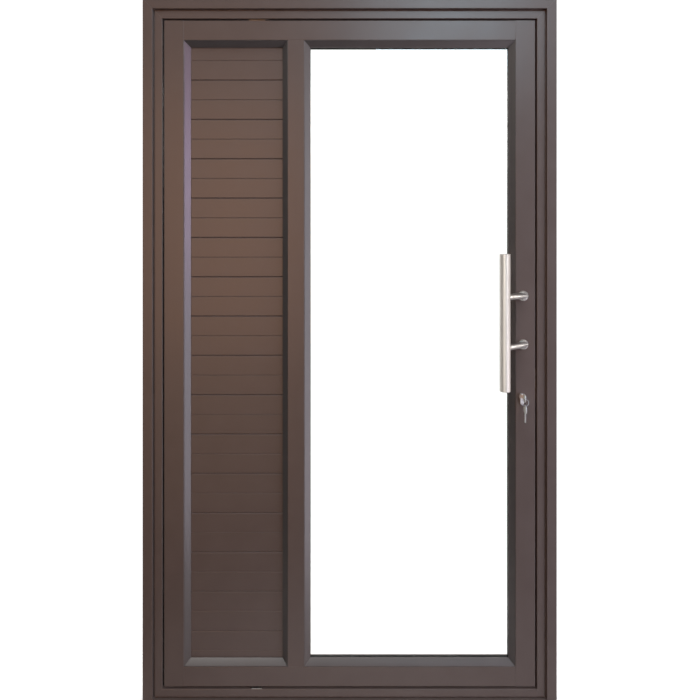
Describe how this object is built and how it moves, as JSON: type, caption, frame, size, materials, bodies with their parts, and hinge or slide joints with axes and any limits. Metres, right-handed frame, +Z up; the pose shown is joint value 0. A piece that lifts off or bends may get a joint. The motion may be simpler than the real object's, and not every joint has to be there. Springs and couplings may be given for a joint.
{
  "type": "glass door",
  "caption": "Bronze powder-coated aluminium pivot door in its frame, with a slatted side panel, a clear glass pane, a steel pull bar and a keyed deadlock.",
  "frame": {"origin": "On the floor line, in the middle of the frame's width, at half the leaf's thickness.", "axes": "+X towards the lock jamb, +Y away from the key side that the picture shows, +Z up."},
  "size_m": [1.22, 0.144, 2.095],
  "materials": {
    "bronze_powder_coat": "satin powder coat on aluminium",
    "mill_aluminium": "mill finish",
    "seal_pile": "dark grey pile",
    "bronze_plastic": "matt moulded",
    "brushed_stainless": "brushed",
    "zinc_steel": "zinc plated",
    "nickel_brass": "satin nickel plate",
    "clear_glass": "clear, polished",
    "black_rubber": "matt"
  },
  "bodies": {
    "frame": {"head": "bronze_powder_coat", "sill": "bronze_powder_coat", "pivot_jamb": "bronze_powder_coat", "lock_jamb": "bronze_powder_coat", "frame_cleats": "mill_aluminium", "lock_jamb_stop": "bronze_powder_coat", "head_stop": "bronze_powder_coat", "sill_stop": "bronze_powder_coat", "weather_seals": "seal_pile", "fixing_caps": "bronze_plastic", "sill_pivot": "brushed_stainless", "head_pivot": "brushed_stainless", "pivot_backing_blocks": "mill_aluminium", "frame_screws": "zinc_steel", "keeper_plate": "brushed_stainless"},
    "leaf": {"pivot_stile": "bronze_powder_coat", "lock_stile": "bronze_powder_coat", "top_rail": "bronze_powder_coat", "bottom_rail": "bronze_powder_coat", "mullion": "bronze_powder_coat", "leaf_spigots": "mill_aluminium", "glass_pane": "clear_glass", "glass_beads": "bronze_powder_coat", "panel_beads": "bronze_powder_coat", "glass_gaskets": "black_rubber", "setting_blocks": "black_rubber", "pivot_shoe": "zinc_steel", "pivot_socket": "zinc_steel", "lock_case": "zinc_steel", "forend": "brushed_stainless", "lock_cylinder": "nickel_brass", "leaf_fasteners": "zinc_steel", "pull_bar": "brushed_stainless", "pull_posts": "brushed_stainless", "pull_bolt_caps": "brushed_stainless", "plank_1": "bronze_powder_coat", "plank_2": "bronze_powder_coat", "plank_3": "bronze_powder_coat", "plank_4": "bronze_powder_coat", "plank_5": "bronze_powder_coat", "plank_6": "bronze_powder_coat", "plank_7": "bronze_powder_coat", "plank_8": "bronze_powder_coat", "plank_9": "bronze_powder_coat", "plank_10": "bronze_powder_coat", "plank_11": "bronze_powder_coat", "plank_12": "bronze_powder_coat", "plank_13": "bronze_powder_coat", "plank_14": "bronze_powder_coat", "plank_15": "bronze_powder_coat", "plank_16": "bronze_powder_coat"},
    "bolt": {"deadbolt": "nickel_brass"},
    "key": {"key_plug": "nickel_brass", "lock_cam": "zinc_steel", "door_key": "nickel_brass", "key_ring": "zinc_steel", "spare_key": "nickel_brass"}
  },
  "joints": [
    {"name": "leaf_pivot", "type": "hinge", "parent": "frame", "child": "leaf", "pos_m": [-0.275, 0, 0.062], "axis": [0, 0, -1], "range_deg": [0, 90]},
    {"name": "key_turn", "type": "hinge", "parent": "leaf", "child": "key", "pos_m": [0.5095, 0, 0.922], "axis": [0, 1, 0], "range_deg": [0, 360]},
    {"name": "deadbolt_slide", "type": "slide", "parent": "leaf", "child": "bolt", "axis": [1, 0, 0], "range_m": [0, 0.02]}
  ],
  "couplings": [
    {"joint": "deadbolt_slide", "follows": "key_turn", "m_per_rad": 0.003183}
  ]
}
